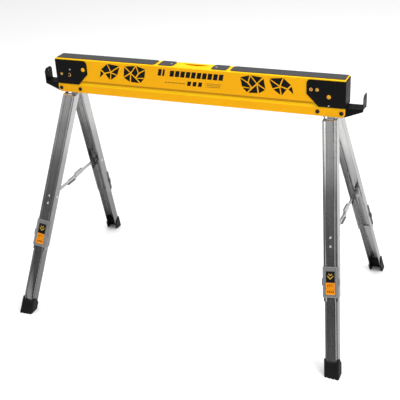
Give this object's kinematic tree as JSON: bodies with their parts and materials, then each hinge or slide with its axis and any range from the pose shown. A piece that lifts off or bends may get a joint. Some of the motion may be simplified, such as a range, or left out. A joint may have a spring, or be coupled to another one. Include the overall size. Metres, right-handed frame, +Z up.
{
  "type": "folding sawhorse",
  "caption": "Folding steel sawhorse: yellow channel beam with black grip strips and end caps, pull-out timber arms, and telescopic splayed legs with latch sleeves and folding braces.",
  "frame": {"origin": "on the floor under the middle of the beam", "axes": "+X along the beam to the right end seen from the front, -Y to the front, +Z up"},
  "size_m": [1.1588, 0.7012, 0.8489],
  "materials": {
    "yellow_powder_coat": "satin powder coat",
    "black_powder_coat": "satin powder coat",
    "galvanised_steel": "galvanised, faintly spangled",
    "zinc_fastener": "bright zinc plated",
    "grey_sleeve": "satin moulded plastic",
    "black_rubber": "matte moulded rubber",
    "black_grip": "matte textured grip strip"
  },
  "bodies": {
    "beam": {"top_beam": "yellow_powder_coat", "handle_insert": "yellow_powder_coat", "left_grip_strip": "black_grip", "left_handle_pad": "black_grip", "left_end_cap": "black_powder_coat", "left_outer_bolt": "black_powder_coat", "left_outer_nut": "black_powder_coat", "left_hinge_bolt": "black_powder_coat", "left_hinge_nut": "black_powder_coat", "right_grip_strip": "black_grip", "right_handle_pad": "black_grip", "right_end_cap": "black_powder_coat", "right_outer_bolt": "black_powder_coat", "right_outer_nut": "black_powder_coat", "right_hinge_bolt": "black_powder_coat", "right_hinge_nut": "black_powder_coat"},
    "left_arm": {"left_support_arm": "black_powder_coat"},
    "left_bracket": {"left_leg_bracket": "galvanised_steel", "left_front_leg_pin": "zinc_fastener", "left_rear_leg_pin": "zinc_fastener"},
    "right_arm": {"right_support_arm": "black_powder_coat"},
    "right_bracket": {"right_leg_bracket": "galvanised_steel", "right_front_leg_pin": "zinc_fastener", "right_rear_leg_pin": "zinc_fastener"},
    "left_front_leg": {"left_front_upper_leg": "galvanised_steel", "left_front_brace_clevis": "galvanised_steel", "left_front_brace_pin": "zinc_fastener"},
    "left_front_extension": {"left_front_lower_leg": "galvanised_steel", "left_front_foot": "black_rubber"},
    "left_front_latch": {"left_front_latch_sleeve": "grey_sleeve"},
    "left_front_brace": {"left_front_brace_link": "galvanised_steel"},
    "left_rear_leg": {"left_rear_upper_leg": "galvanised_steel", "left_rear_brace_clevis": "galvanised_steel", "left_rear_brace_pin": "zinc_fastener"},
    "left_rear_extension": {"left_rear_lower_leg": "galvanised_steel", "left_rear_foot": "black_rubber"},
    "left_rear_latch": {"left_rear_latch_sleeve": "grey_sleeve"},
    "left_rear_brace": {"left_rear_brace_link": "galvanised_steel", "left_brace_rivet": "zinc_fastener"},
    "right_front_leg": {"right_front_upper_leg": "galvanised_steel", "right_front_brace_clevis": "galvanised_steel", "right_front_brace_pin": "zinc_fastener"},
    "right_front_extension": {"right_front_lower_leg": "galvanised_steel", "right_front_foot": "black_rubber"},
    "right_front_latch": {"right_front_latch_sleeve": "grey_sleeve"},
    "right_front_brace": {"right_front_brace_link": "galvanised_steel", "right_brace_rivet": "zinc_fastener"},
    "right_rear_leg": {"right_rear_upper_leg": "galvanised_steel", "right_rear_brace_clevis": "galvanised_steel", "right_rear_brace_pin": "zinc_fastener"},
    "right_rear_extension": {"right_rear_lower_leg": "galvanised_steel", "right_rear_foot": "black_rubber"},
    "right_rear_latch": {"right_rear_latch_sleeve": "grey_sleeve"},
    "right_rear_brace": {"right_rear_brace_link": "galvanised_steel"}
  },
  "joints": [
    {"name": "left_arm_slide", "type": "slide", "parent": "beam", "child": "left_arm", "axis": [-1, 0, 0], "range_m": [0, 0.049]},
    {"name": "left_leg_swing", "type": "hinge", "parent": "beam", "child": "left_bracket", "pos_m": [-0.415, 0, 0.7425], "axis": [0, -1, 0], "range_deg": [0, 96.5]},
    {"name": "left_front_leg_spread", "type": "hinge", "parent": "left_bracket", "child": "left_front_leg", "pos_m": [-0.45378, -0.0115, 0.73464], "axis": [0.9905, 0, -0.1374], "range_deg": [0, 22.63]},
    {"name": "left_front_brace_fold", "type": "hinge", "parent": "left_front_leg", "child": "left_front_brace", "pos_m": [-0.50171, -0.16318, 0.38916], "axis": [0.9905, 0, -0.1374], "range_deg": [0, 61.38]},
    {"name": "left_front_leg_extension", "type": "slide", "parent": "left_front_leg", "child": "left_front_extension", "axis": [0.1269, 0.3848, 0.9142], "range_m": [0, 0.15]},
    {"name": "left_front_latch_slide", "type": "slide", "parent": "left_front_leg", "child": "left_front_latch", "axis": [-0.1269, -0.3848, -0.9142], "range_m": [0, 0.008], "stiffness_N_per_m": 800, "springref_m": -0.004},
    {"name": "left_rear_leg_spread", "type": "hinge", "parent": "left_bracket", "child": "left_rear_leg", "pos_m": [-0.45378, 0.0115, 0.73464], "axis": [-0.9905, 0, 0.1374], "range_deg": [0, 22.68]},
    {"name": "left_rear_brace_fold", "type": "hinge", "parent": "left_rear_leg", "child": "left_rear_brace", "pos_m": [-0.50171, 0.16318, 0.38916], "axis": [-0.9905, 0, 0.1374], "range_deg": [0, 61.38]},
    {"name": "left_rear_leg_extension", "type": "slide", "parent": "left_rear_leg", "child": "left_rear_extension", "axis": [0.1269, -0.3848, 0.9142], "range_m": [0, 0.15]},
    {"name": "left_rear_latch_slide", "type": "slide", "parent": "left_rear_leg", "child": "left_rear_latch", "axis": [-0.1269, 0.3848, -0.9142], "range_m": [0, 0.008], "stiffness_N_per_m": 800, "springref_m": -0.004},
    {"name": "right_arm_slide", "type": "slide", "parent": "beam", "child": "right_arm", "axis": [1, 0, 0], "range_m": [0, 0.049]},
    {"name": "right_leg_swing", "type": "hinge", "parent": "beam", "child": "right_bracket", "pos_m": [0.415, 0, 0.7425], "axis": [0, 1, 0], "range_deg": [0, 74]},
    {"name": "right_front_leg_spread", "type": "hinge", "parent": "right_bracket", "child": "right_front_leg", "pos_m": [0.45378, -0.0115, 0.73464], "axis": [0.9905, 0, 0.1374], "range_deg": [0, 22.63]},
    {"name": "right_front_brace_fold", "type": "hinge", "parent": "right_front_leg", "child": "right_front_brace", "pos_m": [0.50171, -0.16318, 0.38916], "axis": [0.9905, 0, 0.1374], "range_deg": [0, 61.38]},
    {"name": "right_front_leg_extension", "type": "slide", "parent": "right_front_leg", "child": "right_front_extension", "axis": [-0.1269, 0.3848, 0.9142], "range_m": [0, 0.15]},
    {"name": "right_front_latch_slide", "type": "slide", "parent": "right_front_leg", "child": "right_front_latch", "axis": [0.1269, -0.3848, -0.9142], "range_m": [0, 0.008], "stiffness_N_per_m": 800, "springref_m": -0.004},
    {"name": "right_rear_leg_spread", "type": "hinge", "parent": "right_bracket", "child": "right_rear_leg", "pos_m": [0.45378, 0.0115, 0.73464], "axis": [-0.9905, 0, -0.1374], "range_deg": [0, 22.68]},
    {"name": "right_rear_brace_fold", "type": "hinge", "parent": "right_rear_leg", "child": "right_rear_brace", "pos_m": [0.50171, 0.16318, 0.38916], "axis": [-0.9905, 0, -0.1374], "range_deg": [0, 61.38]},
    {"name": "right_rear_leg_extension", "type": "slide", "parent": "right_rear_leg", "child": "right_rear_extension", "axis": [-0.1269, -0.3848, 0.9142], "range_m": [0, 0.15]},
    {"name": "right_rear_latch_slide", "type": "slide", "parent": "right_rear_leg", "child": "right_rear_latch", "axis": [0.1269, 0.3848, -0.9142], "range_m": [0, 0.008], "stiffness_N_per_m": 800, "springref_m": -0.004}
  ],
  "couplings": [
    {"joint": "left_front_brace_fold", "follows": "left_front_leg_spread", "ratio": 2.7081},
    {"joint": "left_rear_leg_spread", "follows": "left_front_leg_spread", "ratio": 1},
    {"joint": "left_rear_brace_fold", "follows": "left_front_leg_spread", "ratio": 2.7081},
    {"joint": "right_front_brace_fold", "follows": "right_front_leg_spread", "ratio": 2.7081},
    {"joint": "right_rear_leg_spread", "follows": "right_front_leg_spread", "ratio": 1},
    {"joint": "right_rear_brace_fold", "follows": "right_front_leg_spread", "ratio": 2.7081}
  ]
}
